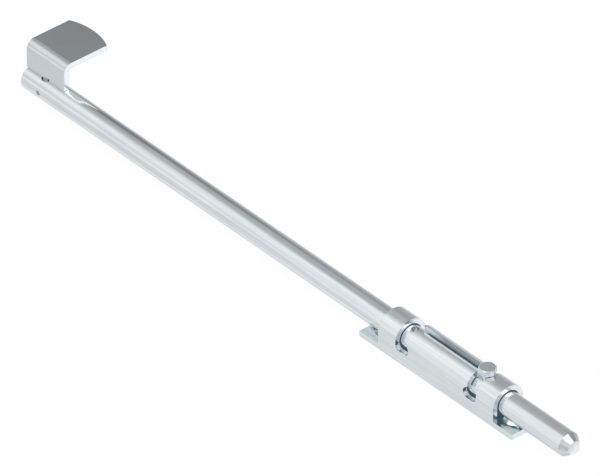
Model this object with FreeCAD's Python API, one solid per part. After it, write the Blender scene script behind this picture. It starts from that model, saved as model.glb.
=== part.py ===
import FreeCAD, Part

# Gate drop bolt: a round rod with a bent flat handle slides in a slotted guide.
# The origin is the middle of the guide's base plate, on its mounting face. X runs
# along the rod to its tip, Z points away from the mounting face, Y is across.
# All sizes are in millimetres.

import math
import os

from FreeCAD import Rotation, Vector

X_AXIS = Vector(1, 0, 0)
Y_AXIS = Vector(0, 1, 0)
Z_AXIS = Vector(0, 0, 1)

# The rod, turned from round bar
rod_radius = 8.0
rod_length = 500.0
tip_taper_length = 5.0
tip_end_radius = 4.5
rear_chamfer = 1.0

# The guide: a base plate with two ears under an arched barrel
base_thickness = 3.8
under_rod_gap = 0.3
bore_clearance = 0.7
barrel_wall = 3.3
barrel_length = 104.0
ear_length = 17.0
bore_foot_fillet = 1.2
guide_edge_break = 0.3

# The guide's H-shaped slot: two slots across, one along the top, four notches
cross_slot_inset = 15.6
cross_slot_width = 9.0
long_slot_side_clearance = 0.3
notch_length = 11.6
notch_height_clearance = 0.5

# The screw holes in the ears
ear_hole_offset = 6.0
ear_hole_radius = 4.5
countersink_radius = 7.0

# The locking screw: a hexagon-head screw that stands in the rod
lock_screw_radius = 3.0
lock_screw_length = 12.0
lock_head_across_flats = 10.0
lock_head_height = 4.0
lock_head_gap = 0.25
lock_head_turn = 0.0
lock_stop_gap = 0.3
lock_to_tip = 77.9
lock_tip_chamfer = 0.6
head_bevel_angle = 30.0
head_rim_share = 0.95

# The second tapped hole for the locking screw, nearer the handle
spare_hole_radius = 2.5
spare_hole_spacing = 65.0

# The handle: one bent flat bar with a tenon that stands in the rod
handle_setback = 17.25
handle_width = 35.5
handle_thickness = 4.0
handle_height = 26.55
handle_inner_bend = 2.0
handle_reach = 35.9
handle_end_sag = 4.0
handle_edge_round = 0.5
foot_gap = 0.05
tenon_width = 6.5
tenon_depth = 11.0
tenon_side_gap = 0.06
tenon_end_gap = 1.0

# The grub screw that clamps the tenon
grub_radius = 2.5
grub_length = 5.0
grub_tip_chamfer = 0.7
grub_socket_across_flats = 2.5
grub_socket_depth = 2.4

# Fits that screws and drilled holes share
thread_gap = 0.05
drill_point_angle = 118.0
hole_end_gap = 0.5
overcut = 5.0
edge_tolerance = 1e-6

# Places that follow from the sizes above
axis_height = base_thickness + under_rod_gap + rod_radius
bore_radius = rod_radius + bore_clearance
barrel_radius = bore_radius + barrel_wall
base_length = barrel_length + 2 * ear_length
ear_hole_x = barrel_length / 2 + ear_hole_offset
slot_outer_edge = barrel_length / 2 - cross_slot_inset
slot_inner_edge = slot_outer_edge - cross_slot_width
notch_height = 2 * (lock_screw_radius + notch_height_clearance)
long_slot_width = 2 * (lock_screw_radius + long_slot_side_clearance)

lock_x = slot_outer_edge - lock_screw_radius - lock_stop_gap
lock_seat = barrel_radius + lock_head_gap
lock_tip = lock_seat - lock_screw_length
spare_hole_x = lock_x - spare_hole_spacing
tip_x = lock_x + lock_to_tip
rear_x = tip_x - rod_length
handle_x = rear_x + handle_setback
tenon_foot = rod_radius - tenon_depth
tenon_hole_radius = math.hypot(handle_thickness, tenon_width) / 2 + tenon_side_gap


def at_axis(x, y, above_axis):
    """A point given by its height above the rod's axis."""
    return Vector(x, y, axis_height + above_axis)


def slab(x_range, y_range, z_range):
    """A block between three pairs of limits."""
    corner = Vector(x_range[0], y_range[0], z_range[0])
    sides = [high - low for low, high in (x_range, y_range, z_range)]
    return Part.makeBox(sides[0], sides[1], sides[2], corner)


def drilled_hole(radius, mouth, direction, depth):
    """The space of a blind hole with a drill's point at its bottom."""
    start = mouth - direction * overcut
    bore = Part.makeCylinder(radius, depth + overcut, start, direction)
    point_height = radius / math.tan(math.radians(drill_point_angle / 2))
    point = Part.makeCone(radius, 0, point_height, mouth + direction * depth, direction)
    return bore.fuse(point)


def hexagon_prism(across_flats, height, start, direction, turn):
    """A hexagon bar from start, with its first corner turned by some degrees."""
    corner_radius = across_flats / math.sqrt(3)
    corners = []
    for index in range(7):
        angle = math.radians(turn + 60 * (index % 6))
        corners.append(Vector(math.cos(angle), math.sin(angle), 0) * corner_radius)
    bar = Part.Face(Part.makePolygon(corners)).extrude(Z_AXIS * height)
    bar.Placement = FreeCAD.Placement(start, Rotation(Z_AXIS, direction))
    return bar


def revolved(profile, origin, direction):
    """A turned piece from points given as distance along the axis and radius."""
    points = [Vector(radius, 0, along) for along, radius in profile]
    outline = Part.makePolygon(points + [points[0]])
    turned = Part.Face(outline).revolve(Vector(0, 0, 0), Z_AXIS, 360)
    turned.Placement = FreeCAD.Placement(origin, Rotation(Z_AXIS, direction))
    return turned


def arch_outline(x, half_width, foot_z, foot_fillet):
    """A wire across the guide: upright sides under a half circle on the rod's axis."""
    crown = axis_height + half_width
    left_top = Vector(x, -half_width, axis_height)
    right_top = Vector(x, half_width, axis_height)
    edges = [Part.Arc(left_top, Vector(x, 0, crown), right_top).toShape()]
    if foot_fillet > 0:
        fold = foot_fillet * (1 - math.sqrt(0.5))
        side_z = foot_z + foot_fillet
        inside = half_width - foot_fillet
        right_side = Vector(x, half_width, side_z)
        right_foot = Vector(x, inside, foot_z)
        left_foot = Vector(x, -inside, foot_z)
        left_side = Vector(x, -half_width, side_z)
        right_mid = Vector(x, half_width - fold, foot_z + fold)
        left_mid = Vector(x, fold - half_width, foot_z + fold)
        edges.append(Part.LineSegment(right_top, right_side).toShape())
        edges.append(Part.Arc(right_side, right_mid, right_foot).toShape())
        edges.append(Part.LineSegment(right_foot, left_foot).toShape())
        edges.append(Part.Arc(left_foot, left_mid, left_side).toShape())
        edges.append(Part.LineSegment(left_side, left_top).toShape())
    else:
        right_foot = Vector(x, half_width, foot_z)
        left_foot = Vector(x, -half_width, foot_z)
        edges.append(Part.LineSegment(right_top, right_foot).toShape())
        edges.append(Part.LineSegment(right_foot, left_foot).toShape())
        edges.append(Part.LineSegment(left_foot, left_top).toShape())
    return Part.Wire(edges)


def notch_space(side):
    """The two round-ended notches at one end of the barrel, through both walls."""
    outer = side * slot_outer_edge
    inner = side * (slot_outer_edge - notch_length)
    round_radius = notch_height / 2
    centres = (outer - side * round_radius, inner + side * round_radius)
    reach = barrel_radius + overcut
    space = slab(
        (min(centres), max(centres)),
        (-reach, reach),
        (axis_height - round_radius, axis_height + round_radius),
    )
    for centre in centres:
        end = Part.makeCylinder(round_radius, 2 * reach, at_axis(centre, -reach, 0), Y_AXIS)
        space = space.fuse(end)
    return space


def slot_space():
    """The H-shaped slot: what the locking screw travels and turns through."""
    top = axis_height + barrel_radius + overcut
    half_long = long_slot_width / 2
    reach = barrel_radius + overcut
    space = slab(
        (-slot_outer_edge, slot_outer_edge), (-half_long, half_long), (axis_height, top)
    )
    for side in (-1, 1):
        limits = sorted((side * slot_inner_edge, side * slot_outer_edge))
        space = space.fuse(slab(limits, (-reach, reach), (axis_height, top)))
        space = space.fuse(notch_space(side))
    return space.removeSplitter()


def ear_screw_space(x):
    """A through hole with a countersink, for one fixing screw."""
    sink_depth = countersink_radius - ear_hole_radius
    profile = [
        (-overcut, 0),
        (-overcut, ear_hole_radius),
        (base_thickness - sink_depth, ear_hole_radius),
        (base_thickness, countersink_radius),
        (base_thickness + overcut, countersink_radius),
        (base_thickness + overcut, 0),
    ]
    return revolved(profile, Vector(x, 0, 0), Z_AXIS)


def make_barrel():
    """The arched barrel with its bore, its two ends lightly chamfered outside."""
    start = -barrel_length / 2
    outer = Part.Face(arch_outline(start, barrel_radius, 0, 0))
    block = outer.extrude(X_AXIS * barrel_length)
    ends = [edge for edge in block.Edges if edge.BoundBox.XLength < edge_tolerance]
    block = block.makeChamfer(guide_edge_break, ends)
    bore = Part.Face(arch_outline(start, bore_radius, base_thickness, bore_foot_fillet))
    return block.cut(bore.extrude(X_AXIS * barrel_length))


def make_guide():
    """The base plate and the barrel as one piece, with its slots and screw holes."""
    base = slab(
        (-base_length / 2, base_length / 2),
        (-barrel_radius, barrel_radius),
        (0, base_thickness),
    )
    guide = make_barrel().fuse(base).removeSplitter()
    guide = guide.cut(slot_space())
    for side in (-1, 1):
        guide = guide.cut(ear_screw_space(side * ear_hole_x))
    return guide


def make_bolt_rod():
    """The rod with its tapered tip and the holes for the screws and the handle."""
    taper_x = rod_length - tip_taper_length
    profile = [
        (0, 0),
        (0, rod_radius - rear_chamfer),
        (rear_chamfer, rod_radius),
        (taper_x, rod_radius),
        (rod_length, tip_end_radius),
        (rod_length, 0),
    ]
    rod = revolved(profile, at_axis(rear_x, 0, 0), X_AXIS)
    lock_depth = rod_radius - lock_tip + hole_end_gap
    lock_hole = drilled_hole(
        lock_screw_radius + thread_gap, at_axis(lock_x, 0, rod_radius), -Z_AXIS, lock_depth
    )
    spare_hole = drilled_hole(
        spare_hole_radius, at_axis(spare_hole_x, 0, rod_radius), -Z_AXIS, lock_depth
    )
    tenon_hole = drilled_hole(
        tenon_hole_radius,
        at_axis(handle_x, 0, rod_radius),
        -Z_AXIS,
        tenon_depth + tenon_end_gap,
    )
    grub_hole = Part.makeCylinder(
        grub_radius + thread_gap, rod_radius + overcut,
        at_axis(handle_x, -rod_radius - overcut, 0), Y_AXIS
    )
    for hole in (lock_hole, spare_hole, tenon_hole, grub_hole):
        rod = rod.cut(hole)
    return rod


def handle_strip():
    """The bent flat: an upright leg, a round bend and the grip, as one extrusion."""
    half = handle_thickness / 2
    outer_bend = handle_inner_bend + handle_thickness
    x = handle_x - handle_width / 2
    top = handle_height
    under = top - handle_thickness
    end = handle_reach
    fold = 1 - math.sqrt(0.5)
    corner_y = -half
    bend_y = corner_y + outer_bend
    foot_left = at_axis(x, -half, 0)
    foot_right = at_axis(x, half, 0)
    leg_left = at_axis(x, -half, top - outer_bend)
    leg_right = at_axis(x, half, top - outer_bend)
    grip_top = at_axis(x, bend_y, top)
    grip_under = at_axis(x, bend_y, under)
    outer_mid = at_axis(x, corner_y + outer_bend * fold, top - outer_bend * fold)
    inner_mid = at_axis(x, half + handle_inner_bend * fold, under - handle_inner_bend * fold)
    edges = [
        Part.LineSegment(foot_left, leg_left).toShape(),
        Part.Arc(leg_left, outer_mid, grip_top).toShape(),
        Part.LineSegment(grip_top, at_axis(x, end, top)).toShape(),
        Part.LineSegment(at_axis(x, end, top), at_axis(x, end, under)).toShape(),
        Part.LineSegment(at_axis(x, end, under), grip_under).toShape(),
        Part.Arc(grip_under, inner_mid, leg_right).toShape(),
        Part.LineSegment(leg_right, foot_right).toShape(),
        Part.LineSegment(foot_right, foot_left).toShape(),
    ]
    return Part.Face(Part.Wire(edges)).extrude(X_AXIS * handle_width)


def make_handle():
    """The handle: bent strip with a bowed end, a foot that fits the rod, a tenon."""
    half_width = handle_width / 2
    bow_radius = (half_width ** 2 + handle_end_sag ** 2) / (2 * handle_end_sag)
    bow = Part.makeCylinder(
        bow_radius, handle_height + overcut,
        at_axis(handle_x, handle_reach - bow_radius, 0), Z_AXIS
    )
    rod_space = Part.makeCylinder(
        rod_radius + foot_gap, handle_width + 2 * overcut,
        at_axis(handle_x - half_width - overcut, 0, 0), X_AXIS
    )
    handle = handle_strip().common(bow).cut(rod_space)
    handle = handle.makeFillet(handle_edge_round, grip_edges(handle))
    half_thickness = handle_thickness / 2
    half_tenon = tenon_width / 2
    tenon = slab(
        (handle_x - half_tenon, handle_x + half_tenon),
        (-half_thickness, half_thickness),
        (axis_height + tenon_foot, axis_height + rod_radius + overcut),
    )
    return handle.fuse(tenon).removeSplitter()


def grip_edges(handle):
    """The long edges round the strip's rim, apart from those at its foot."""
    chosen = []
    bend_reach = handle_inner_bend + handle_thickness
    leg_top = axis_height + handle_height - bend_reach
    for edge in handle.Edges:
        box = edge.BoundBox
        above_foot = box.ZMax > leg_top - edge_tolerance
        past_bend = box.YMin > bend_reach
        along_side = box.XLength < edge_tolerance and not past_bend
        along_bow = box.XLength > handle_width - edge_tolerance and past_bend
        if above_foot and (along_side or along_bow):
            chosen.append(edge)
    return chosen


def make_grub_screw():
    """The grub screw: a short stud with a hexagon socket and a flat tip."""
    profile = [
        (0, 0),
        (0, grub_radius - grub_tip_chamfer / 2),
        (grub_tip_chamfer / 2, grub_radius),
        (grub_length - grub_tip_chamfer, grub_radius),
        (grub_length, grub_radius - grub_tip_chamfer),
        (grub_length, 0),
    ]
    outer_y = -handle_thickness / 2 - grub_length
    mouth = at_axis(handle_x, outer_y, 0)
    screw = revolved(profile, mouth, Y_AXIS)
    socket = hexagon_prism(
        grub_socket_across_flats, grub_socket_depth + overcut,
        at_axis(handle_x, outer_y - overcut, 0), Y_AXIS, 0
    )
    return screw.cut(socket)


def make_lock_screw():
    """The locking screw: a hexagon head with a bevelled top on a plain-ended shank."""
    seat = at_axis(lock_x, 0, lock_seat)
    head = hexagon_prism(
        lock_head_across_flats, lock_head_height, seat, Z_AXIS, lock_head_turn
    )
    corner_radius = lock_head_across_flats / math.sqrt(3)
    flat_radius = lock_head_across_flats / 2
    drop = math.tan(math.radians(head_bevel_angle))
    rim_radius = flat_radius * head_rim_share
    bevel_profile = [
        (0, 0),
        (0, corner_radius + overcut),
        (lock_head_height - drop * (corner_radius + overcut - rim_radius),
         corner_radius + overcut),
        (lock_head_height, rim_radius),
        (lock_head_height, 0),
    ]
    head = head.common(revolved(bevel_profile, seat, Z_AXIS))
    shank_profile = [
        (0, 0),
        (0, lock_screw_radius - lock_tip_chamfer),
        (lock_tip_chamfer, lock_screw_radius),
        (lock_screw_length, lock_screw_radius),
        (lock_screw_length, 0),
    ]
    shank = revolved(shank_profile, at_axis(lock_x, 0, lock_tip), Z_AXIS)
    return head.fuse(shank).removeSplitter()


def main():
    """Build every piece, write it to its own file and print its size."""
    os.makedirs("parts", exist_ok=True)
    pieces = {
        "guide": make_guide(),
        "bolt_rod": make_bolt_rod(),
        "handle": make_handle(),
        "handle_set_screw": make_grub_screw(),
        "locking_screw": make_lock_screw(),
    }
    for name, shape in pieces.items():
        solids = shape.Solids
        box = shape.BoundBox
        print(
            f"{name}: {len(solids)} solid, valid {shape.isValid()}, "
            f"{shape.Volume:.0f} mm3, X {box.XMin:.2f}..{box.XMax:.2f}, "
            f"Y {box.YMin:.2f}..{box.YMax:.2f}, Z {box.ZMin:.2f}..{box.ZMax:.2f}"
        )
        solids[0].exportStep(f"parts/{name}.step")


if __name__ == "__main__":
    main()
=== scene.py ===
"""Looks of a gate drop bolt: a zinc-plated rod with a bent handle in a slotted guide."""

from __future__ import annotations

import logging
import math
from dataclasses import dataclass, field
from enum import Enum

import bmesh
import bpy
from mathutils import Matrix, Vector

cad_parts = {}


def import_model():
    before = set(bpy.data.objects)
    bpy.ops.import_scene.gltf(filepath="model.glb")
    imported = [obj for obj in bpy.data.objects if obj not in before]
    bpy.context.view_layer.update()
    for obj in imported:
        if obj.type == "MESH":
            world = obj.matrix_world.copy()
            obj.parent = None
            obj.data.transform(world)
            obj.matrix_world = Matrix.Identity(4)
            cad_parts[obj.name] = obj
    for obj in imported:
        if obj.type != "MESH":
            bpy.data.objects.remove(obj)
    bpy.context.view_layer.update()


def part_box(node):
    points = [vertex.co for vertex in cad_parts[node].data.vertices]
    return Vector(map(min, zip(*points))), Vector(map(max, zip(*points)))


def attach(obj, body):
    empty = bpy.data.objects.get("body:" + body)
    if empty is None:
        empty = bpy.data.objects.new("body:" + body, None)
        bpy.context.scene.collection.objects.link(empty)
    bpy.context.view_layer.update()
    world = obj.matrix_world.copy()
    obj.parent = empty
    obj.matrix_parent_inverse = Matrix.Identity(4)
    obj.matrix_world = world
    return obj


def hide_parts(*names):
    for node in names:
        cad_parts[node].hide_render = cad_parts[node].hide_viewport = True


LOG = logging.getLogger("drop_bolt")

Piece = bpy.types.Object
Tree = bpy.types.NodeTree
Socket = bpy.types.NodeSocket
Profile = list[tuple[float, float]]
Tint = tuple[float, float, float]
# What a node's input takes: another node's output, or a value.
Feed = Socket | float | tuple[float, ...]

MM = 0.001
X_AXIS = Vector((1, 0, 0))
Y_AXIS = Vector((0, 1, 0))
Z_AXIS = Vector((0, 0, 1))
OVERCUT = 5 * MM
MERGE = 0.001 * MM
HOLE_STEPS = 96
ROD_STEPS = 256


class Body(Enum):
    """The two bodies that move against each other."""

    GUIDE = "guide"
    BOLT = "bolt"


class Slot(Enum):
    """The record's material slots."""

    GUIDE = "guide_zinc"
    ROD = "rod_zinc"
    HANDLE = "handle_zinc"
    SCREW = "screw_zinc"


class Grain(Enum):
    """Which way the fine lines in a piece's surface run."""

    ALONG_ROD = (0.5, 20.0, 20.0)
    ACROSS_ROD = (20.0, 0.5, 20.0)
    UPRIGHT = (20.0, 20.0, 0.5)
    NONE = (60.0, 60.0, 60.0)


# Mesh helpers


def to_object(name: str, mesh_data: bmesh.types.BMesh) -> Piece:
    """Turn a bmesh into a linked object.

    Args:
        name: The object's name.
        mesh_data: The bmesh, which is freed.

    Returns:
        The new object, at the origin.
    """
    bmesh.ops.remove_doubles(mesh_data, verts=mesh_data.verts, dist=MERGE)
    bmesh.ops.recalc_face_normals(mesh_data, faces=mesh_data.faces)
    mesh = bpy.data.meshes.new(name)
    mesh_data.to_mesh(mesh)
    mesh_data.free()
    piece = bpy.data.objects.new(name, mesh)
    bpy.context.scene.collection.objects.link(piece)
    return piece


def sweep_faces(shape: bmesh.types.BMesh, sweep: Vector) -> None:
    """Sweep a shape's flat faces into a solid.

    Args:
        shape: The shape.
        sweep: How far and which way the faces go.
    """
    grown = bmesh.ops.extrude_face_region(shape, geom=shape.faces[:])
    moved = [item for item in grown["geom"] if isinstance(item, bmesh.types.BMVert)]
    bmesh.ops.translate(shape, vec=sweep, verts=moved)


def aim(shape: bmesh.types.BMesh, origin: Vector, direction: Vector) -> None:
    """Turn a shape that stands along Z, and move it to its place.

    Args:
        shape: The shape.
        origin: Where its own origin goes.
        direction: Which way its Z axis points afterwards.
    """
    turn = Z_AXIS.rotation_difference(direction).to_matrix().to_4x4()
    bmesh.ops.transform(shape, matrix=Matrix.Translation(origin) @ turn, verts=shape.verts)


def spin(shape: bmesh.types.BMesh, profile: Profile, steps: int, turns: int = 1,
         pitch: float = 0.0) -> None:
    """Draw an outline beside the Z axis and spin it round the axis.

    Args:
        shape: The empty shape that takes it.
        profile: Points as distance along the axis and radius.
        steps: How many steps a full turn has.
        turns: How many turns there are.
        pitch: How far the outline climbs in a turn; 0 closes the turn.
    """
    verts = [shape.verts.new((radius, 0, along)) for along, radius in profile]
    for first, second in zip(verts, verts[1:]):
        shape.edges.new((first, second))
    bmesh.ops.spin(
        shape,
        geom=shape.verts[:] + shape.edges[:],
        cent=(0, 0, 0),
        axis=Z_AXIS,
        angle=math.tau * turns,
        steps=steps * turns,
        dvec=Z_AXIS * pitch / steps,
        use_merge=pitch == 0,
    )


def cylinder(start: float, end: float, radius: float) -> Profile:
    """The outline of a plain cylinder, as turned takes it."""
    return [(start, 0), (start, radius), (end, radius), (end, 0)]


def block(name: str, low: Vector, high: Vector) -> Piece:
    """Make a box between two corners.

    Args:
        name: The object's name.
        low: The lowest corner.
        high: The highest corner.

    Returns:
        The box.
    """
    shape = bmesh.new()
    bmesh.ops.create_cube(shape, size=1.0)
    bmesh.ops.scale(shape, vec=high - low, verts=shape.verts)
    bmesh.ops.translate(shape, vec=(low + high) / 2, verts=shape.verts)
    return to_object(name, shape)


def turned(name: str, profile: Profile, origin: Vector, direction: Vector,
           steps: int = HOLE_STEPS) -> Piece:
    """Spin an outline into a turned piece.

    Args:
        name: The object's name.
        profile: Points as distance along the axis and radius; both ends lie on the axis.
        origin: Where the axis starts.
        direction: Which way the axis points.
        steps: How many steps the full turn has.

    Returns:
        The closed piece.
    """
    shape = bmesh.new()
    spin(shape, profile, steps)
    aim(shape, origin, direction)
    return to_object(name, shape)


def prism(name: str, outline: list[Vector], sweep: Vector) -> Piece:
    """Sweep a flat outline into a bar.

    Args:
        name: The object's name.
        outline: The corners, in order.
        sweep: How far and which way the outline goes.

    Returns:
        The bar.
    """
    shape = bmesh.new()
    shape.faces.new([shape.verts.new(corner) for corner in outline])
    sweep_faces(shape, sweep)
    return to_object(name, shape)


def cut_rings(piece: Piece, places: list[float]) -> None:
    """Split a long piece's faces across X, so that holes cut short faces alone.

    Args:
        piece: The piece.
        places: Where the cuts lie, along X.
    """
    shape = bmesh.new()
    shape.from_mesh(piece.data)
    for place in places:
        bmesh.ops.bisect_plane(
            shape,
            geom=shape.verts[:] + shape.edges[:] + shape.faces[:],
            plane_co=X_AXIS * place,
            plane_no=X_AXIS,
        )
    shape.to_mesh(piece.data)
    shape.free()


def arc(centre: Vector, radius: float, start: float, end: float, steps: int) -> list[Vector]:
    """Points of an arc across the part, in the plane of Y and Z.

    Args:
        centre: The arc's centre.
        radius: Its radius.
        start: Its first angle from +Y towards +Z, in degrees.
        end: Its last angle.
        steps: How many steps it has.

    Returns:
        The points, both ends included.
    """
    points = []
    for index in range(steps + 1):
        angle = math.radians(start + (end - start) * index / steps)
        points.append(centre + radius * (math.cos(angle) * Y_AXIS + math.sin(angle) * Z_AXIS))
    return points


def drill(name: str, radius: float, mouth: Vector, direction: Vector, depth: float,
          point: float) -> Piece:
    """Make the space of a drilled hole, with the drill's point at its bottom.

    Args:
        name: The object's name.
        radius: The hole's radius.
        mouth: The middle of its mouth.
        direction: Which way it goes in.
        depth: How deep its wall is.
        point: How high the drill's point is.

    Returns:
        The cutter.
    """
    profile = [(-OVERCUT, 0), (-OVERCUT, radius), (depth, radius), (depth + point, 0)]
    return turned(name, profile, mouth, direction)


def hexagon(name: str, across_flats: float, start: Vector, direction: Vector,
            height: float) -> Piece:
    """Make a hexagon bar.

    Args:
        name: The object's name.
        across_flats: Its size across flats.
        start: The middle of its first end.
        direction: Which way it points.
        height: Its length.

    Returns:
        The bar.
    """
    shape = bmesh.new()
    corner = across_flats / math.sqrt(3)
    bmesh.ops.create_circle(shape, cap_ends=True, radius=corner, segments=6)
    bmesh.ops.rotate(shape, cent=(0, 0, 0), verts=shape.verts,
                     matrix=Matrix.Rotation(-math.pi / 2, 3, Z_AXIS))
    sweep_faces(shape, Z_AXIS * height)
    aim(shape, start, direction)
    return to_object(name, shape)


def combine(target: Piece, operation: str, tools: list[Piece]) -> None:
    """Cut, join or intersect a piece with others, which are used up.

    Args:
        target: The piece that changes.
        operation: DIFFERENCE, UNION or INTERSECT.
        tools: The other pieces.
    """
    for tool in tools:
        change = target.modifiers.new("combine", "BOOLEAN")
        change.operation = operation
        change.solver = "EXACT"
        change.object = tool
    settle(target)
    for tool in tools:
        mesh = tool.data
        bpy.data.objects.remove(tool)
        bpy.data.meshes.remove(mesh)


def settle(piece: Piece) -> None:
    """Apply a piece's modifiers to its mesh.

    Args:
        piece: The piece.
    """
    graph = bpy.context.evaluated_depsgraph_get()
    mesh = bpy.data.meshes.new_from_object(piece.evaluated_get(graph))
    old = piece.data
    piece.modifiers.clear()
    piece.data = mesh
    bpy.data.meshes.remove(old)
    mesh.name = piece.name


def finish_edges(piece: Piece, width: float, angle: float = 35.0) -> None:
    """Round a piece's edges a little and smooth what lies between them.

    Args:
        piece: The piece.
        width: The width of the rounding; 0 leaves the edges sharp.
        angle: The angle, in degrees, above which an edge counts.
    """
    if width > 0:
        rounding = piece.modifiers.new("edge", "BEVEL")
        rounding.width = width
        rounding.segments = 2
        rounding.limit_method = "ANGLE"
        rounding.angle_limit = math.radians(angle)
        rounding.use_clamp_overlap = False
        settle(piece)
    mesh = piece.data
    mesh.polygons.foreach_set("use_smooth", [True] * len(mesh.polygons))
    mesh.set_sharp_from_angle(angle=math.radians(angle))
    weights = piece.modifiers.new("normals", "WEIGHTED_NORMAL")
    weights.mode = "FACE_AREA"
    weights.keep_sharp = True
    settle(piece)


# The pieces


@dataclass
class Guide:
    """The base plate with its slotted, arched barrel."""

    axis_height: float
    low: Vector
    high: Vector
    barrel_length: float = 104 * MM
    base_thickness: float = 3.8 * MM
    bore_radius: float = 8.7 * MM
    foot_round: float = 1.2 * MM
    slot_outer: float = 36.4 * MM
    slot_width: float = 9 * MM
    notch_length: float = 11.6 * MM
    notch_height: float = 7 * MM
    long_slot: float = 6.6 * MM
    hole_x: float = 58 * MM
    hole_radius: float = 4.5 * MM
    sink_radius: float = 7 * MM
    edge: float = 0.08 * MM
    arc_steps: int = 128
    foot_steps: int = 8
    hole_steps: int = 128

    @property
    def barrel_radius(self) -> float:
        """The barrel's outer radius, half the base plate's width."""
        return self.high.y

    def barrel(self) -> Piece:
        """Make the arched barrel with its bore, open towards the base plate.

        Returns:
            The barrel, without the slots.
        """
        start = -self.barrel_length / 2 * X_AXIS
        middle = start + self.axis_height * Z_AXIS
        foot = self.bore_radius - self.foot_round
        rise = self.base_thickness + self.foot_round
        outline = arc(middle, self.barrel_radius, 0, 180, self.arc_steps)
        outline.append(start - self.barrel_radius * Y_AXIS)
        outline.append(start - foot * Y_AXIS)
        outline += arc(start - foot * Y_AXIS + rise * Z_AXIS, self.foot_round, 270, 180,
                       self.foot_steps)
        outline += arc(middle, self.bore_radius, 180, 0, self.arc_steps)
        outline += arc(start + foot * Y_AXIS + rise * Z_AXIS, self.foot_round, 0, -90,
                       self.foot_steps)
        outline.append(start + foot * Y_AXIS)
        outline.append(start + self.barrel_radius * Y_AXIS)
        return prism("guide_body", outline, X_AXIS * self.barrel_length)

    def notch(self, side: int) -> Piece:
        """Make the space of the two round-ended notches at one end of the slot.

        Args:
            side: 1 at the front, -1 at the rear.

        Returns:
            The cutter.
        """
        shape = bmesh.new()
        radius = self.notch_height / 2
        half = self.notch_length / 2 - radius
        bmesh.ops.create_circle(shape, cap_ends=False, radius=radius, segments=HOLE_STEPS)
        for vert in shape.verts:
            vert.co.x += math.copysign(half, vert.co.x)
        bmesh.ops.contextual_create(shape, geom=shape.edges[:])
        reach = self.barrel_radius + OVERCUT
        sweep_faces(shape, Z_AXIS * 2 * reach)
        bmesh.ops.rotate(shape, cent=(0, 0, 0), verts=shape.verts,
                         matrix=Matrix.Rotation(math.pi / 2, 3, X_AXIS))
        middle = side * (self.slot_outer - self.notch_length / 2)
        bmesh.ops.translate(shape, verts=shape.verts,
                            vec=Vector((middle, reach, self.axis_height)))
        return to_object("notch", shape)

    def slots(self) -> list[Piece]:
        """Make the cutters of the H-shaped slot.

        Returns:
            The cutters of the long slot, the two cross slots and the notches.
        """
        top = self.high.z + OVERCUT
        reach = self.barrel_radius + OVERCUT
        half_long = self.long_slot / 2
        end = self.slot_outer - self.slot_width / 2
        cutters = [block("long_slot", Vector((-end, -half_long, self.axis_height)),
                         Vector((end, half_long, top)))]
        for side in (-1, 1):
            edges = sorted((side * self.slot_outer, side * (self.slot_outer - self.slot_width)))
            cutters.append(block("cross_slot", Vector((edges[0], -reach, self.axis_height)),
                                 Vector((edges[1], reach, top))))
            cutters.append(self.notch(side))
        return cutters

    def ear_holes(self) -> list[Piece]:
        """Make the cutters of the two countersunk holes.

        Returns:
            The two cutters.
        """
        sink = self.sink_radius - self.hole_radius
        thick = self.base_thickness
        profile = [
            (-OVERCUT, 0), (-OVERCUT, self.hole_radius), (thick - sink, self.hole_radius),
            (thick, self.sink_radius), (thick + sink, self.sink_radius), (thick + sink, 0),
        ]
        return [
            turned("ear_hole", profile, Vector((side * self.hole_x, 0, 0)), Z_AXIS,
                   self.hole_steps)
            for side in (-1, 1)
        ]

    def build(self) -> Piece:
        """Build the guide.

        Returns:
            The finished piece.
        """
        piece = self.barrel()
        reach = self.slot_outer + self.slot_width / 2
        inner = self.slot_outer - self.notch_length - self.slot_width / 2
        cut_rings(piece, [-reach, -inner, 0, inner, reach])
        combine(piece, "DIFFERENCE", self.slots())
        base = block("base", self.low, Vector((self.high.x, self.high.y, self.base_thickness)))
        combine(piece, "UNION", [base])
        combine(piece, "DIFFERENCE", self.ear_holes())
        finish_edges(piece, self.edge)
        return piece


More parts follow.
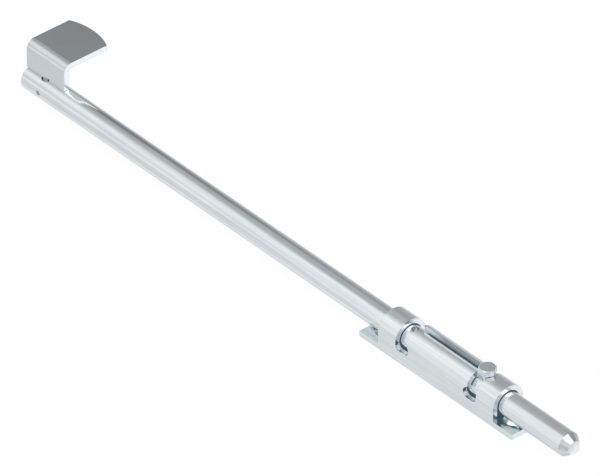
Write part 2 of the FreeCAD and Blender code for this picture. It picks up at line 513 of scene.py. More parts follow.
@dataclass
class Rod:
    """The turned rod, with its tapered tip and the holes for what it carries."""

    low: Vector
    high: Vector
    lock_x: float
    handle_x: float
    tip_taper: float = 5 * MM
    tip_radius: float = 4.5 * MM
    rear_chamfer: float = 1 * MM
    edge: float = 0.08 * MM
    lock_hole_radius: float = 3.05 * MM
    lock_hole_depth: float = 8.25 * MM
    spare_hole_radius: float = 2.5 * MM
    spare_hole_spacing: float = 65 * MM
    tenon_hole_radius: float = 3.876 * MM
    tenon_hole_depth: float = 12 * MM
    grub_hole_radius: float = 2.51 * MM
    grub_hole_point: float = 0.1 * MM
    drill_point: float = 0.6
    ring_margin: float = 1.5

    @property
    def radius(self) -> float:
        """The rod's radius."""
        return (self.high.z - self.low.z) / 2

    @property
    def axis(self) -> float:
        """The height of the rod's axis."""
        return (self.high.z + self.low.z) / 2

    def build(self) -> Piece:
        """Build the rod.

        Returns:
            The finished piece.
        """
        length = self.high.x - self.low.x
        taper = length - self.tip_taper
        profile = [
            (0, 0), (0, self.radius - self.rear_chamfer), (self.rear_chamfer, self.radius),
            (taper, self.radius), (length, self.tip_radius), (length, 0),
        ]
        start = Vector((self.low.x, 0, self.axis))
        piece = turned("rod_body", profile, start, X_AXIS, ROD_STEPS)
        spare_x = self.lock_x - self.spare_hole_spacing
        cut_rings(piece, [
            middle + side * self.ring_margin * self.tenon_hole_radius
            for middle in (self.handle_x, spare_x, self.lock_x)
            for side in (-1, 1)
        ])
        top = self.axis + self.radius
        cutters = [
            drill(name, radius, Vector((middle, 0, top)), -Z_AXIS, depth,
                  self.drill_point * radius)
            for name, middle, radius, depth in (
                ("lock_hole", self.lock_x, self.lock_hole_radius, self.lock_hole_depth),
                ("spare_hole", spare_x, self.spare_hole_radius, self.lock_hole_depth),
                ("tenon_hole", self.handle_x, self.tenon_hole_radius, self.tenon_hole_depth),
            )
        ]
        mouth = Vector((self.handle_x, -self.radius, self.axis))
        cutters.append(drill("grub_hole", self.grub_hole_radius, mouth, Y_AXIS, self.radius,
                             self.grub_hole_point))
        combine(piece, "DIFFERENCE", cutters)
        finish_edges(piece, self.edge, angle=20.0)
        return piece


@dataclass
class Handle:
    """The bent flat bar with its bowed end, coped foot and tenon."""

    low: Vector
    high: Vector
    axis: float
    rod_radius: float
    thickness: float = 4 * MM
    inner_bend: float = 2 * MM
    end_sag: float = 4 * MM
    foot_gap: float = 0.05 * MM
    tenon_rear: float = 2.6 * MM
    tenon_front: float = 3.25 * MM
    edge: float = 0.2 * MM
    bend_steps: int = 32
    bow_steps: int = 512

    def strip(self) -> Piece:
        """Bend a flat bar: up from the foot, round the bend and out to the end.

        Returns:
            The strip, with a square end.
        """
        half = self.thickness / 2
        outer_bend = self.inner_bend + self.thickness
        side = self.low.x * X_AXIS
        bend = side + (half + self.inner_bend) * Y_AXIS + (self.high.z - outer_bend) * Z_AXIS
        end = side + self.high.y * Y_AXIS
        foot = side + self.axis * Z_AXIS
        outline = [foot - half * Y_AXIS]
        outline += arc(bend, outer_bend, 180, 90, self.bend_steps)
        outline.append(end + self.high.z * Z_AXIS)
        outline.append(end + (self.high.z - self.thickness) * Z_AXIS)
        outline += arc(bend, self.inner_bend, 90, 180, self.bend_steps)
        outline.append(foot + half * Y_AXIS)
        return prism("handle_body", outline, X_AXIS * (self.high.x - self.low.x))

    def build(self) -> Piece:
        """Build the handle.

        Returns:
            The finished piece.
        """
        half_width = (self.high.x - self.low.x) / 2
        middle_x = (self.high.x + self.low.x) / 2
        bow = (half_width ** 2 + self.end_sag ** 2) / (2 * self.end_sag)
        piece = self.strip()
        tall = self.high.z - self.axis + 2 * OVERCUT
        bow_start = Vector((middle_x, self.high.y - bow, self.axis - OVERCUT))
        combine(piece, "INTERSECT", [
            turned("bow", cylinder(0, tall, bow), bow_start, Z_AXIS, self.bow_steps)
        ])
        rod_end = 2 * half_width + 2 * OVERCUT
        cope = cylinder(0, rod_end, self.rod_radius + self.foot_gap)
        rod_start = Vector((self.low.x - OVERCUT, 0, self.axis))
        combine(piece, "DIFFERENCE", [turned("cope", cope, rod_start, X_AXIS, ROD_STEPS)])
        half = self.thickness / 2
        tenon = block(
            "tenon",
            Vector((middle_x - self.tenon_rear, -half, self.low.z)),
            Vector((middle_x + self.tenon_front, half, self.axis + self.rod_radius + half)),
        )
        combine(piece, "UNION", [tenon])
        finish_edges(piece, self.edge)
        return piece


@dataclass
class GrubScrew:
    """The set screw that clamps the handle's tenon, ground flush with the rod's side."""

    low: Vector
    high: Vector
    rod_radius: float
    tip_chamfer: float = 0.7 * MM
    below: float = 0.02 * MM
    mouth_radius: float = 1.65 * MM
    mouth_depth: float = 1.9 * MM
    socket: float = 2.5 * MM
    socket_depth: float = 3.4 * MM

    def build(self) -> Piece:
        """Build the set screw.

        Returns:
            The finished piece.
        """
        radius = (self.high.x - self.low.x) / 2
        middle = (self.low + self.high) / 2
        mouth = Vector((middle.x, -self.rod_radius, middle.z))
        length = self.high.y - mouth.y
        profile = [
            (0, 0), (0, radius), (length - self.tip_chamfer, radius),
            (length, radius - self.tip_chamfer), (length, 0),
        ]
        piece = turned("set_screw_body", profile, mouth, Y_AXIS)
        skin = cylinder(-2 * radius, 2 * radius, self.rod_radius - self.below)
        skin_start = Vector((middle.x, 0, middle.z))
        combine(piece, "INTERSECT", [turned("rod_skin", skin, skin_start, X_AXIS, ROD_STEPS)])
        key = hexagon("socket", self.socket, mouth - Y_AXIS * OVERCUT, Y_AXIS,
                      self.socket_depth + OVERCUT)
        entry = cylinder(-OVERCUT, self.mouth_depth, self.mouth_radius)
        combine(piece, "DIFFERENCE", [key, turned("socket_mouth", entry, mouth, Y_AXIS)])
        finish_edges(piece, 0)
        return piece


@dataclass
class LockingScrew:
    """The hexagon-head screw that stands in the rod."""

    low: Vector
    high: Vector
    across_flats: float = 10 * MM
    head_height: float = 4 * MM
    head_steps: int = 192
    shank_radius: float = 3 * MM
    pitch: float = 1 * MM
    thread_depth: float = 0.55 * MM
    thread_steps: int = 48
    extra_turns: int = 3
    start_turns: float = 1.5
    neck: float = 1 * MM
    neck_overlap: float = 0.25
    bevel_angle: float = math.radians(30)
    rim_share: float = 0.97

    def head(self) -> Piece:
        """Build the hexagon head with its bevelled top.

        Returns:
            The head.
        """
        middle = (self.low + self.high) / 2
        seat = Vector((middle.x, middle.y, self.high.z - self.head_height))
        piece = hexagon("locking_screw_body", self.across_flats, seat, Z_AXIS, self.head_height)
        corner = self.across_flats / math.sqrt(3) + OVERCUT
        rim = self.across_flats / 2 * self.rim_share
        drop = math.tan(self.bevel_angle) * (corner - rim)
        profile = [
            (-OVERCUT, 0), (-OVERCUT, corner), (self.head_height - drop, corner),
            (self.head_height, rim), (self.head_height, 0),
        ]
        combine(piece, "INTERSECT", [turned("bevel", profile, seat, Z_AXIS, self.head_steps)])
        return piece

    def shank(self) -> Piece:
        """Build the threaded shank as a helix of V-shaped ridges.

        Returns:
            The shank.
        """
        middle = (self.low + self.high) / 2
        seat_z = self.high.z - self.head_height
        length = seat_z - self.low.z
        turns = int(length / self.pitch) + self.extra_turns
        root = self.shank_radius - self.thread_depth
        shape = bmesh.new()
        tooth = [(0, root), (self.pitch / 2, self.shank_radius), (self.pitch, root)]
        spin(shape, tooth, self.thread_steps, turns, self.pitch)
        bmesh.ops.remove_doubles(shape, verts=shape.verts, dist=2 * MERGE)
        bmesh.ops.translate(shape, vec=-Z_AXIS * self.start_turns * self.pitch, verts=shape.verts)
        for height, normal in ((0, -Z_AXIS), (length - self.neck, Z_AXIS)):
            cut = bmesh.ops.bisect_plane(
                shape,
                geom=shape.verts[:] + shape.edges[:] + shape.faces[:],
                plane_co=(0, 0, height),
                plane_no=normal,
                clear_outer=True,
            )
            rim = [item for item in cut["geom_cut"] if isinstance(item, bmesh.types.BMEdge)]
            bmesh.ops.contextual_create(shape, geom=rim)
        bmesh.ops.translate(shape, vec=Vector((middle.x, 0, self.low.z)), verts=shape.verts)
        thread = to_object("thread", shape)
        neck = cylinder(0, self.neck * (1 + 2 * self.neck_overlap), root)
        neck_start = Vector((middle.x, 0, seat_z - self.neck * (1 + self.neck_overlap)))
        combine(thread, "UNION", [turned("neck", neck, neck_start, Z_AXIS)])
        return thread

    def build(self) -> Piece:
        """Build the locking screw.

        Returns:
            The finished piece.
        """
        piece = self.head()
        combine(piece, "UNION", [self.shank()])
        finish_edges(piece, 0, angle=20.0)
        return piece


# Node helpers


def feed(tree: Tree, socket: Socket, value: Feed) -> None:
    """Link a socket to another node's output, or set its value.

    Args:
        tree: The node tree.
        socket: The input socket.
        value: The other node's output, or the value.
    """
    if isinstance(value, Socket):
        tree.links.new(value, socket)
    else:
        socket.default_value = value


def add_math(tree: Tree, operation: str, *values: Feed, clamp: bool = False) -> Socket:
    """Add a maths node.

    Args:
        tree: The node tree.
        operation: What it works out.
        *values: Its inputs, in order.
        clamp: Whether its result stays between 0 and 1.

    Returns:
        Its result.
    """
    node = tree.nodes.new("ShaderNodeMath")
    node.operation = operation
    node.use_clamp = clamp
    for socket, value in zip(node.inputs, values):
        feed(tree, socket, value)
    return node.outputs["Value"]


def add_noise(tree: Tree, position: Socket, scale: float, detail: float) -> Socket:
    """Add a noise node.

    Args:
        tree: The node tree.
        position: Where the noise is read.
        scale: The noise's scale.
        detail: Its detail.

    Returns:
        The noise's level.
    """
    node = tree.nodes.new("ShaderNodeTexNoise")
    node.inputs["Scale"].default_value = scale
    node.inputs["Detail"].default_value = detail
    tree.links.new(position, node.inputs["Vector"])
    return node.outputs["Fac"]


def share_between(tree: Tree, value: Socket, start: float, end: float) -> Socket:
    """Work out how far a value lies from one limit to another.

    Args:
        tree: The node tree.
        value: The value.
        start: Where the share is 0.
        end: Where the share is 1.

    Returns:
        The share.
    """
    node = tree.nodes.new("ShaderNodeMapRange")
    node.inputs["From Min"].default_value = start
    node.inputs["From Max"].default_value = end
    tree.links.new(value, node.inputs["Value"])
    return node.outputs["Result"]


def mix_colour(tree: Tree, share: Socket, first: Feed, second: Feed) -> Socket:
    """Mix two colours.

    Args:
        tree: The node tree.
        share: The second colour's share.
        first: The first colour.
        second: The second colour.

    Returns:
        The mixed colour.
    """
    node = tree.nodes.new("ShaderNodeMix")
    node.data_type = "RGBA"
    for name, value in (("Factor", share), ("A", first), ("B", second)):
        feed(tree, node.inputs[name], value)
    return node.outputs["Result"]


def mix_shaders(tree: Tree, share: Socket, first: Socket, second: Socket,
                surface: Socket) -> None:
    """Show a mix of two shaders.

    Args:
        tree: The node tree.
        share: The second shader's share.
        first: The first shader.
        second: The second shader.
        surface: The output node's socket.
    """
    node = tree.nodes.new("ShaderNodeMixShader")
    for socket, value in zip(node.inputs, (share, first, second)):
        tree.links.new(value, socket)
    tree.links.new(node.outputs["Shader"], surface)


def own_position(tree: Tree) -> Socket:
    """Add a node that gives each point's position on its own piece."""
    return tree.nodes.new("ShaderNodeTexCoord").outputs["Object"]


def split(tree: Tree, position: Socket) -> bpy.types.NodeOutputs:
    """Split a position.

    Args:
        tree: The node tree.
        position: The position.

    Returns:
        Its X, Y and Z, by name.
    """
    node = tree.nodes.new("ShaderNodeSeparateXYZ")
    tree.links.new(position, node.inputs["Vector"])
    return node.outputs


def tint_where(tree: Tree, share: Socket, tint: Tint) -> None:
    """Change a material's colour on a part of its surface.

    Args:
        tree: The material's node tree.
        share: The new colour's share, point by point.
        tint: The new colour.
    """
    base = tree.nodes["Principled BSDF"].inputs["Base Color"]
    plain = base.links[0].from_socket
    tree.links.new(mix_colour(tree, share, plain, (*tint, 1)), base)


def new_group(name: str, takes: dict[str, str],
              gives: dict[str, str]) -> tuple[Tree, bpy.types.Node, bpy.types.Node]:
    """Make a node group with its sockets.

    Args:
        name: The group's name.
        takes: The kind of each input, by name.
        gives: The kind of each output, by name.

    Returns:
        The group, its input node and its output node.
    """
    group = bpy.data.node_groups.new(name, "ShaderNodeTree")
    for way, sockets in (("INPUT", takes), ("OUTPUT", gives)):
        for title, kind in sockets.items():
            group.interface.new_socket(title, in_out=way, socket_type=f"NodeSocket{kind}")
    return group, group.nodes.new("NodeGroupInput"), group.nodes.new("NodeGroupOutput")


def grey(light: float) -> tuple[float, float, float, float]:
    """A neutral colour of one light level."""
    return (light, light, light, 1)


# Finishes


@dataclass(frozen=True)
class PaintedSlotShade:
    """Painted shade on the walls of the long slot, which sets in ahead of its rear end."""

    half_width: float = 3.35 * MM
    above: float = 19.5 * MM
    shade_start_x: float = -20 * MM
    shade_full_x: float = -9 * MM
    end_x: float = 32 * MM
    # The painted shade's colour.
    tint: Tint = (0.36, 0.395, 0.415)

    def mask_group(self) -> Tree:
        """Make the node group that finds the slot's walls.

        Returns:
            The group, with its sockets named.
        """
        tree, given, result = new_group("painted_slot_shade", {"Position": "Vector"}, {"Share": "Float"})
        place = split(tree, given.outputs["Position"])
        across = add_math(tree, "ABSOLUTE", place["Y"])
        share = share_between(tree, place["X"], self.shade_start_x, self.shade_full_x)
        for value, operation, limit in (
            (across, "LESS_THAN", self.half_width),
            (place["Z"], "GREATER_THAN", self.above),
            (place["X"], "LESS_THAN", self.end_x),
        ):
            share = add_math(tree, "MULTIPLY", share, add_math(tree, operation, value, limit))
        tree.links.new(share, result.inputs["Share"])
        return tree

    def apply(self, tree: Tree) -> None:
        """Paint shade into a material's colour on the slot's walls, where the camera sees them
        directly.

        Args:
            tree: The material's node tree.
        """
        mask = tree.nodes.new("ShaderNodeGroup")
        mask.node_tree = self.mask_group()
        tree.links.new(own_position(tree), mask.inputs["Position"])
        path = tree.nodes.new("ShaderNodeLightPath")
        seen = path.outputs["Is Camera Ray"]
        tint_where(tree, add_math(tree, "MULTIPLY", mask.outputs["Share"], seen), self.tint)


@dataclass(frozen=True)
class PaintedHoleShade:
    """Painted shade in an upright hole: its gap and rear wall are painted darker than other gaps.
    """

    x: float
    radius: float
    margin: float = 0.05 * MM
    rear_from: float = 3.1 * MM
    # The painted shade's colour, in the hole's gap and on its rear wall.
    tone: Tint = (0.045, 0.080, 0.092)

    def apply(self, tree: Tree, gap_tone: Socket) -> None:
        """Paint shade into the hole: a darker glow tone in its gap, and a darker colour on its
        rear wall.

        Args:
            tree: The material's node tree.
            gap_tone: The socket that gives gaps their painted glow tone.
        """
        place = split(tree, own_position(tree))
        along = add_math(tree, "SUBTRACT", place["X"], self.x)
        square = add_math(tree, "MULTIPLY", along, along)
        square = add_math(tree, "MULTIPLY_ADD", place["Y"], place["Y"], square)
        inside = add_math(tree, "LESS_THAN", square, (self.radius + self.margin) ** 2)
        darker = mix_colour(tree, inside, gap_tone.default_value, (*self.tone, 1))
        tree.links.new(darker, gap_tone)
        rear = add_math(tree, "LESS_THAN", along, -self.rear_from)
        tint_where(tree, add_math(tree, "MULTIPLY", inside, rear), self.tone)


@dataclass(frozen=True)
class PaintedEdgeLight:
    """Painted highlight on the two cut edges of the flat bar, which makes them lighter than its
    other faces.
    """

    middle: float
    half_width: float
    margin: float = 0.1 * MM
    # The painted highlight's colour.
    tint: Tint = (0.805, 0.86, 0.89)

    def apply(self, tree: Tree) -> None:
        """Paint the highlight by lightening the tint of the edges.

        Args:
            tree: The material's node tree.
        """
        place = split(tree, own_position(tree))
        away = add_math(tree, "ABSOLUTE", add_math(tree, "SUBTRACT", place["X"], self.middle))
        edge = add_math(tree, "GREATER_THAN", away, self.half_width - self.margin)
        tint_where(tree, edge, self.tint)


@dataclass(frozen=True)
class Plating:
    """The pattern of zinc plating: clouds of tone and fine drawn lines."""

    cloud_scale: float = 90.0
    cloud_detail: float = 3.0
    line_scale: float = 25.0
    line_detail: float = 4.0
    contrast: float = 4.4
    rough_spread: float = 0.06

    def group(self) -> Tree:
        """Make the pattern's node group.

        Returns:
            The group, with its sockets named.
        """
        tree, given, result = new_group(
            "zinc_plating",
            {"Position": "Vector", "Grain": "Vector", "Tint": "Color", "Shade": "Color",
             "Roughness": "Float"},
            {"Colour": "Color", "Roughness": "Float", "Lines": "Float"},
        )
        position = given.outputs["Position"]
        stretch = tree.nodes.new("ShaderNodeVectorMath")
        stretch.operation = "MULTIPLY"
        tree.links.new(position, stretch.inputs[0])
        tree.links.new(given.outputs["Grain"], stretch.inputs[1])
        clouds = add_noise(tree, position, self.cloud_scale, self.cloud_detail)
        lines = add_noise(tree, stretch.outputs["Vector"], self.line_scale, self.line_detail)
        tone = add_math(tree, "MULTIPLY_ADD", lines, self.contrast, -self.contrast / 2)
        share = add_math(tree, "ADD", tone, clouds, clamp=True)
        colour = mix_colour(tree, share, given.outputs["Tint"], given.outputs["Shade"])
        rough = add_math(tree, "MULTIPLY_ADD", lines, self.rough_spread,
                         given.outputs["Roughness"])
        for name, value in (("Colour", colour), ("Roughness", rough), ("Lines", lines)):
            tree.links.new(value, result.inputs[name])
        return tree


@dataclass(frozen=True)
class ZincFinish:
    """Bright zinc plating on one piece, with painted light and shade in deep gaps, and any
    painted marks.
    """

    name: str
    slot: Slot
    grain: Grain
    tint: Tint = (0.82, 0.865, 0.89)
    shade: Tint = (0.725, 0.775, 0.805)
    roughness: float = 0.10
    line_depth: float = 0.15
    line_height: float = 0.02 * MM
    # Painted light and shade in gaps: the glow shown where a path has been mirrored more than
    # deep_after times.
    painted_gap_glow: Tint = (0.17, 0.23, 0.27)
    deep_after: float = 3.5
    # Painted shade on the walls of the long slot.
    shaded_slot: PaintedSlotShade | None = None
    # Painted shade in one upright hole.
    hole_shade: PaintedHoleShade | None = None
    # Painted highlight on the handle's two side faces.
    edge_highlight: PaintedEdgeLight | None = None

    def material(self, group: Tree) -> bpy.types.Material:
        """Make the material.

        Args:
            group: The node group of the plating.

        Returns:
            The material.
        """
        made = bpy.data.materials.new(self.name)
        made.use_nodes = True
        tree = made.node_tree
        shader = tree.nodes["Principled BSDF"]
        shader.inputs["Metallic"].default_value = 1.0
        plating = tree.nodes.new("ShaderNodeGroup")
        plating.node_tree = group
        for name, value in (("Tint", (*self.tint, 1)), ("Shade", (*self.shade, 1)),
                            ("Roughness", self.roughness), ("Grain", self.grain.value)):
            plating.inputs[name].default_value = value
        bump = tree.nodes.new("ShaderNodeBump")
        bump.inputs["Strength"].default_value = self.line_depth
        bump.inputs["Distance"].default_value = self.line_height
        links = tree.links
        links.new(own_position(tree), plating.inputs["Position"])
        links.new(plating.outputs["Colour"], shader.inputs["Base Color"])
        links.new(plating.outputs["Roughness"], shader.inputs["Roughness"])
        links.new(plating.outputs["Lines"], bump.inputs["Height"])
        links.new(bump.outputs["Normal"], shader.inputs["Normal"])
        # Painted shade on the slot's walls.
        if self.shaded_slot:
            self.shaded_slot.apply(tree)
        # Painted highlight on the side faces.
        if self.edge_highlight:
            self.edge_highlight.apply(tree)
        self.paint_gap_light(made)
        return made

    def paint_gap_light(self, made: bpy.types.Material) -> None:
        """Paint light and shade into gaps: what is mirrored many times over, deep in a gap, glows
        in a painted tone of its own instead of being lit.

        Args:
            made: The material.
        """
        made.cycles.emission_sampling = "NONE"
        tree = made.node_tree
        path = tree.nodes.new("ShaderNodeLightPath")
        deep = add_math(tree, "GREATER_THAN", path.outputs["Glossy Depth"], self.deep_after)
        # The painted glow that stands in for the light deep in gaps.
        glow = tree.nodes.new("ShaderNodeEmission")
        glow.inputs["Color"].default_value = (*self.painted_gap_glow, 1)
        # Painted shade in the tenon's hole.
        if self.hole_shade:
            self.hole_shade.apply(tree, glow.inputs["Color"])
        shader = tree.nodes["Principled BSDF"]
        mix_shaders(tree, deep, shader.outputs["BSDF"], glow.outputs["Emission"],
                    tree.nodes["Material Output"].inputs["Surface"])


# The studio


@dataclass(frozen=True)
class Wall:
    """The light of the studio's walls round the rod, over one stretch along it.

    Each stop is an angle from straight up towards -Y, in degrees, and a light level.
    """

    start: float
    end: float
    stops: tuple[tuple[float, float], ...]


REAR_SIDES = (
    (-98, 0.68), (-82, 0.44), (-66, 0.28), (-54, 0.20), (-46, 0.24), (-34, 0.44), (-22, 0.50),
    (-8, 0.49), (6, 0.68), (14, 0.84), (24, 0.93), (36, 0.95), (48, 0.90), (62, 0.78),
    (70, 0.75), (78, 0.88), (86, 1.00), (94, 0.88), (104, 0.78), (134, 0.75),
)
BACK_WALL = Wall(-3.0, -1.68, (
    (-180, 1.15), (-165, 1.30), (-135, 1.30), (-118, 0.85), *REAR_SIDES, (158, 0.92),
    (180, 1.15),
))
REAR_WALL = Wall(-1.62, -1.45, (
    (-180, 0.78), (-112, 0.78), *REAR_SIDES, (146, 0.80), (158, 0.89), (168, 0.89),
    (180, 0.82),
))
MIDDLE_WALL = Wall(-1.30, -1.28, (
    (-180, 0.80), (-130, 0.79), (-112, 0.77), (-98, 0.69), (-82, 0.50), (-74, 0.47),
    (-66, 0.44), (-50, 0.32), (-42, 0.35), (-30, 0.47), (-18, 0.51), (-6, 0.51), (6, 0.63),
    (14, 0.78), (22, 0.92), (32, 1.02), (42, 1.01), (54, 0.97), (70, 0.89), (78, 0.93),
    (86, 1.00), (94, 0.90), (104, 0.80), (118, 0.82), (134, 0.80), (146, 0.86), (158, 0.96),
    (166, 0.94), (180, 0.84),
))
FRONT_WALL = Wall(-1.10, -0.95, (
    (-180, 0.69), (-166, 0.74), (-150, 0.79), (-130, 0.78), (-112, 0.76), (-98, 0.69),
    (-82, 0.50), (-74, 0.45), (-36, 0.445), (-12, 0.49), (0, 0.53), (14, 0.79), (22, 0.93),
    (32, 1.03), (44, 0.99), (56, 1.02), (66, 0.99), (78, 0.92), (86, 0.96), (102, 0.83),
    (118, 0.88), (134, 0.82), (150, 0.79), (164, 0.74), (180, 0.69),
))
END_WALL = Wall(-0.35, 0.72, (
    (-180, 0.72), (-168, 0.67), (-150, 0.78), (-116, 0.66), (-102, 0.57), (-92, 0.53),
    (-87, 0.61), (-80, 0.50), (-70, 0.40), (-60, 0.31), (-50, 0.32), (-38, 0.39), (-27, 0.46),
    (0, 0.52), (6, 0.56), (10, 1.50), (23, 1.50), (27, 0.75), (60, 0.75), (88, 0.60),
    (118, 0.62), (128, 0.72), (140, 0.79), (152, 0.77), (164, 0.73), (180, 0.72),
))
DOOR_LEFT = (
    (-180, 0.86), (-168, 1.00), (-154, 1.10), (-118, 1.10), (-100, 0.90), (-80, 0.62),
    (-64, 0.55), (-58, 1.80), (-20, 1.80), (0, 1.50),
)
DOOR_RIGHT = (
    (52, 0.72), (64, 0.77), (75, 0.74), (86, 0.60), (110, 0.60), (130, 0.72), (150, 0.80),
    (180, 0.86),
)
DOOR_WALL = Wall(0.80, 0.90, (*DOOR_LEFT, (12, 1.50), (17, 0.79), *DOOR_RIGHT))
BRIGHT_WALL = Wall(0.97, 1.08, (*DOOR_LEFT, (30, 1.50), (35, 0.79), *DOOR_RIGHT))
LAST_WALL = Wall(1.13, 1.38, (
    (-180, 0.84), (-168, 0.92), (-154, 0.96), (-118, 0.96), (-100, 0.86), (-80, 0.62),
    (-50, 0.70), (-46, 1.90), (6, 1.90), (12, 0.85), (35, 0.79), (60, 0.77), (90, 0.70),
    (150, 0.80), (180, 0.84),
))
FAR_WALL = Wall(1.50, 3.0, (
    (-180, 0.86), (-158, 0.90), (-146, 0.84), (-134, 0.78), (-104, 0.78), (-94, 0.88),
    (-86, 1.00), (-78, 0.88), (-70, 0.76), (-48, 0.90), (-24, 0.95), (-14, 0.84), (-4, 1.25),
    (30, 1.25), (50, 1.16), (70, 0.98), (86, 0.94), (94, 0.42), (110, 0.36), (124, 0.76),
    (155, 0.95), (180, 0.86),
))
WALLS = (
    BACK_WALL, REAR_WALL, MIDDLE_WALL, FRONT_WALL, END_WALL, DOOR_WALL, BRIGHT_WALL,
    LAST_WALL, FAR_WALL,
)


@dataclass
class Studio:
    """Camera, floor, lamp and the lit tunnel that the metal mirrors.

    The camera sees the floor as plain white to the share floor_white, and as lit paint for
    the rest.
    """

    target: Vector = field(default_factory=lambda: Vector((-137.27, 0, 28.75)) * MM)
    azimuth: float = math.radians(49.4208)
    elevation: float = math.radians(35.8025)
    distance: float = 10.9173
    lens: float = 1097.2
    sensor: float = 36.0
    floor_size: float = 30.0
    floor_paint: float = 0.9
    floor_white: float = 0.96
    mirrored_light: float = 0.9
    tunnel_radius: float = 1.5
    tunnel_length: float = 6.0
    tunnel_steps: int = 96
    lamp_size: float = 2.5
    lamp_energy: float = 20.0
    lamp_place: Vector = field(default_factory=lambda: Vector((0.3, -0.8, 2.5)))

    def place_camera(self) -> None:
        """Set the camera that sees the part as the photo does."""
        flat = math.cos(self.elevation)
        away = Vector((
            math.sin(self.azimuth) * flat,
            -math.cos(self.azimuth) * flat,
            math.sin(self.elevation),
        ))
        data = bpy.data.cameras.new("camera")
        data.sensor_fit = "HORIZONTAL"
        data.sensor_width = self.sensor
        data.lens = self.lens
        camera = bpy.data.objects.new("camera", data)
        camera.location = self.target + away * self.distance
        camera.rotation_euler = (-away).to_track_quat("-Z", "Y").to_euler()
        bpy.context.scene.collection.objects.link(camera)
        bpy.context.scene.camera = camera

    def build_world(self) -> None:
        """Light the scene: white to the camera, a little less to the metal."""
        world = bpy.data.worlds.new("studio")
        bpy.context.scene.world = world
        world.use_nodes = True
        tree = world.node_tree
        tree.nodes.clear()
        plain = tree.nodes.new("ShaderNodeBackground")
        plain.inputs["Color"].default_value = grey(1)
        mirrored = tree.nodes.new("ShaderNodeBackground")
        mirrored.inputs["Color"].default_value = grey(self.mirrored_light)
        path = tree.nodes.new("ShaderNodeLightPath")
        out = tree.nodes.new("ShaderNodeOutputWorld")
        mix_shaders(tree, path.outputs["Is Glossy Ray"], plain.outputs["Background"],
                    mirrored.outputs["Background"], out.inputs["Surface"])

    def build_tunnel(self) -> None:
        """Make the round tunnel of lit walls along the rod, seen in the metal alone."""
        shape = bmesh.new()
        bmesh.ops.create_circle(shape, radius=self.tunnel_radius, segments=self.tunnel_steps)
        grown = bmesh.ops.extrude_edge_only(shape, edges=shape.edges[:])
        moved = [item for item in grown["geom"] if isinstance(item, bmesh.types.BMVert)]
        bmesh.ops.translate(shape, vec=Z_AXIS * self.tunnel_length, verts=moved)
        bmesh.ops.translate(shape, vec=-Z_AXIS * self.tunnel_length / 2, verts=shape.verts)
        bmesh.ops.rotate(shape, cent=(0, 0, 0), verts=shape.verts,
                         matrix=Matrix.Rotation(math.pi / 2, 3, Y_AXIS))
        tunnel = to_object("tunnel", shape)
        tunnel.visible_camera = False
        tunnel.visible_diffuse = False
        tunnel.visible_transmission = False
        tunnel.visible_shadow = False
        tunnel.data.materials.append(self.tunnel_material())

    def tunnel_material(self) -> bpy.types.Material:
        """Make the light of the tunnel's walls.

        Returns:
            The material.
        """
        made = bpy.data.materials.new("tunnel")
        made.use_nodes = True
        made.cycles.emission_sampling = "NONE"
        tree = made.node_tree
        tree.nodes.clear()
        place = split(tree, own_position(tree))
        flip = add_math(tree, "MULTIPLY", place["Y"], -1.0)
        angle = add_math(tree, "ARCTAN2", flip, place["Z"])
        turn = share_between(tree, angle, -math.pi, math.pi)
        light = self.wall_light(tree, WALLS[0], turn)
        for last, wall in zip(WALLS, WALLS[1:]):
            share = share_between(tree, place["X"], last.end, wall.start)
            light = mix_colour(tree, share, light, self.wall_light(tree, wall, turn))
        glow = tree.nodes.new("ShaderNodeEmission")
        tree.links.new(light, glow.inputs["Color"])
        out = tree.nodes.new("ShaderNodeOutputMaterial")
        tree.links.new(glow.outputs["Emission"], out.inputs["Surface"])
        return made

    @staticmethod
    def wall_light(tree: Tree, wall: Wall, turn: Socket) -> Socket:
        """Turn a wall's stops into a colour ramp.

        Args:
            tree: The node tree.
            wall: The wall.
            turn: The angle, as a share of a full turn.

        Returns:
            The ramp's colour.
        """
        node = tree.nodes.new("ShaderNodeValToRGB")
        elements = node.color_ramp.elements
        for index, (angle, light) in enumerate(wall.stops):
            place = (angle + 180) / 360
            if index < 2:
                stop = elements[index]
                stop.position = place
            else:
                stop = elements.new(place)
            stop.color = grey(light)
        tree.links.new(turn, node.inputs["Fac"])
        return node.outputs["Color"]

    def build_floor(self) -> None:
        """Make the pale floor that keeps a faint shadow."""
        shape = bmesh.new()
        bmesh.ops.create_grid(shape, x_segments=1, y_segments=1, size=self.floor_size / 2)
        floor = to_object("floor", shape)
        floor.visible_glossy = False
        made = bpy.data.materials.new("floor")
        made.use_nodes = True
        tree = made.node_tree
        tree.nodes.clear()
        paint = tree.nodes.new("ShaderNodeBsdfDiffuse")
        paint.inputs["Color"].default_value = grey(self.floor_paint)
        glow = tree.nodes.new("ShaderNodeEmission")
        path = tree.nodes.new("ShaderNodeLightPath")
        share = add_math(tree, "MULTIPLY", path.outputs["Is Camera Ray"], self.floor_white)
        out = tree.nodes.new("ShaderNodeOutputMaterial")
        mix_shaders(tree, share, paint.outputs["BSDF"], glow.outputs["Emission"],
                    out.inputs["Surface"])
        floor.data.materials.append(made)

    def hang_lamp(self) -> None:
        """Hang one large soft lamp over the part."""
        data = bpy.data.lights.new("softbox", "AREA")
        data.shape = "DISK"
        data.size = self.lamp_size
        data.energy = self.lamp_energy
        lamp = bpy.data.objects.new("softbox", data)
        lamp.location = self.lamp_place
        lamp.rotation_euler = (-lamp.location).to_track_quat("-Z", "Y").to_euler()
        lamp.visible_glossy = False
        bpy.context.scene.collection.objects.link(lamp)

    def build(self) -> None:
        """Set up everything round the part."""
        bpy.context.scene.view_settings.view_transform = "Standard"
        self.place_camera()
        self.build_world()
        self.build_tunnel()
        self.build_floor()
        self.hang_lamp()


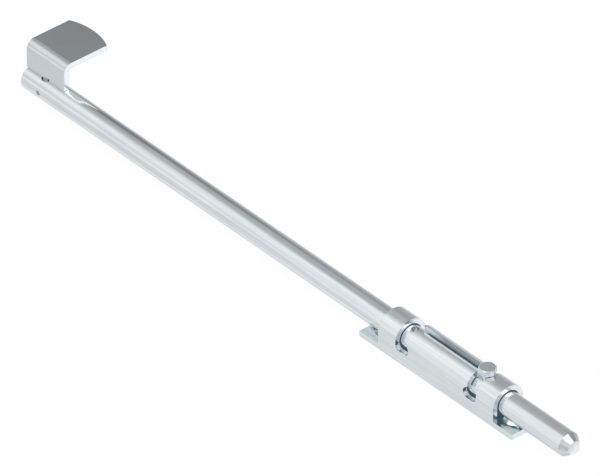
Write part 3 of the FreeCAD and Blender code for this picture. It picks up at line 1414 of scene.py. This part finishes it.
def dress(piece: Piece, node: str, body: Body, finish: ZincFinish, group: Tree) -> None:
    """Give a finished piece its material and its place on a body.

    Args:
        piece: The piece.
        node: The CAD node that it stands for.
        body: The body that it rides on.
        finish: Its finish.
        group: The plating node group.
    """
    piece.data.materials.clear()
    piece.data.materials.append(finish.material(group))
    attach(piece, body.value)
    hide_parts(node)
    LOG.info("%s: %d faces, rides on %s", piece.name, len(piece.data.polygons), body.value)


def main() -> None:
    """Build the studio and every piece."""
    logging.basicConfig(level=logging.INFO, format="%(name)s: %(message)s")
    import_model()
    Studio().build()

    rod_low, rod_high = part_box("bolt_rod")
    handle_low, handle_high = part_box("handle")
    lock_low, lock_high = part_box("locking_screw")
    grub_low, grub_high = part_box("handle_set_screw")
    guide_low, guide_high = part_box("guide")
    rod = Rod(
        low=rod_low,
        high=rod_high,
        lock_x=(lock_low.x + lock_high.x) / 2,
        handle_x=(handle_low.x + handle_high.x) / 2,
    )
    handle = Handle(low=handle_low, high=handle_high, axis=rod.axis, rod_radius=rod.radius)
    half_width = (handle_high.x - handle_low.x) / 2
    # Each finish below paints a glow of its own tone into its deep gaps, as painted light and
    # shade.
    group = Plating().group()

    # The guide's finish paints shade on the walls of its long slot.
    dress(Guide(axis_height=rod.axis, low=guide_low, high=guide_high).build(), "guide",
          Body.GUIDE, ZincFinish("zinc_guide", Slot.GUIDE, Grain.ALONG_ROD, roughness=0.14,
                                 painted_gap_glow=(0.105, 0.155, 0.19), deep_after=2.5,
                                 shaded_slot=PaintedSlotShade()), group)
    # The rod's finish paints shade into the hole of the handle's tenon.
    dress(rod.build(), "bolt_rod", Body.BOLT,
          ZincFinish("zinc_rod", Slot.ROD, Grain.ALONG_ROD, painted_gap_glow=(0.38, 0.45, 0.50),
                     hole_shade=PaintedHoleShade(rod.handle_x, rod.tenon_hole_radius)), group)
    # The handle's finish paints a highlight on its two side faces.
    dress(handle.build(), "handle", Body.BOLT,
          ZincFinish("zinc_handle", Slot.HANDLE, Grain.NONE, tint=(0.755, 0.80, 0.825),
                     shade=(0.67, 0.72, 0.75), painted_gap_glow=(0.42, 0.48, 0.52),
                     deep_after=1.5, edge_highlight=PaintedEdgeLight(rod.handle_x, half_width)), group)
    grub = GrubScrew(low=grub_low, high=grub_high, rod_radius=rod.radius)
    dress(grub.build(), "handle_set_screw", Body.BOLT,
          ZincFinish("zinc_set_screw", Slot.SCREW, Grain.ACROSS_ROD,
                     painted_gap_glow=(0.48, 0.55, 0.58), deep_after=1.5), group)
    dress(LockingScrew(low=lock_low, high=lock_high).build(), "locking_screw", Body.BOLT,
          ZincFinish("zinc_screw", Slot.SCREW, Grain.UPRIGHT, roughness=0.24), group)


if __name__ == "__main__":
    main()
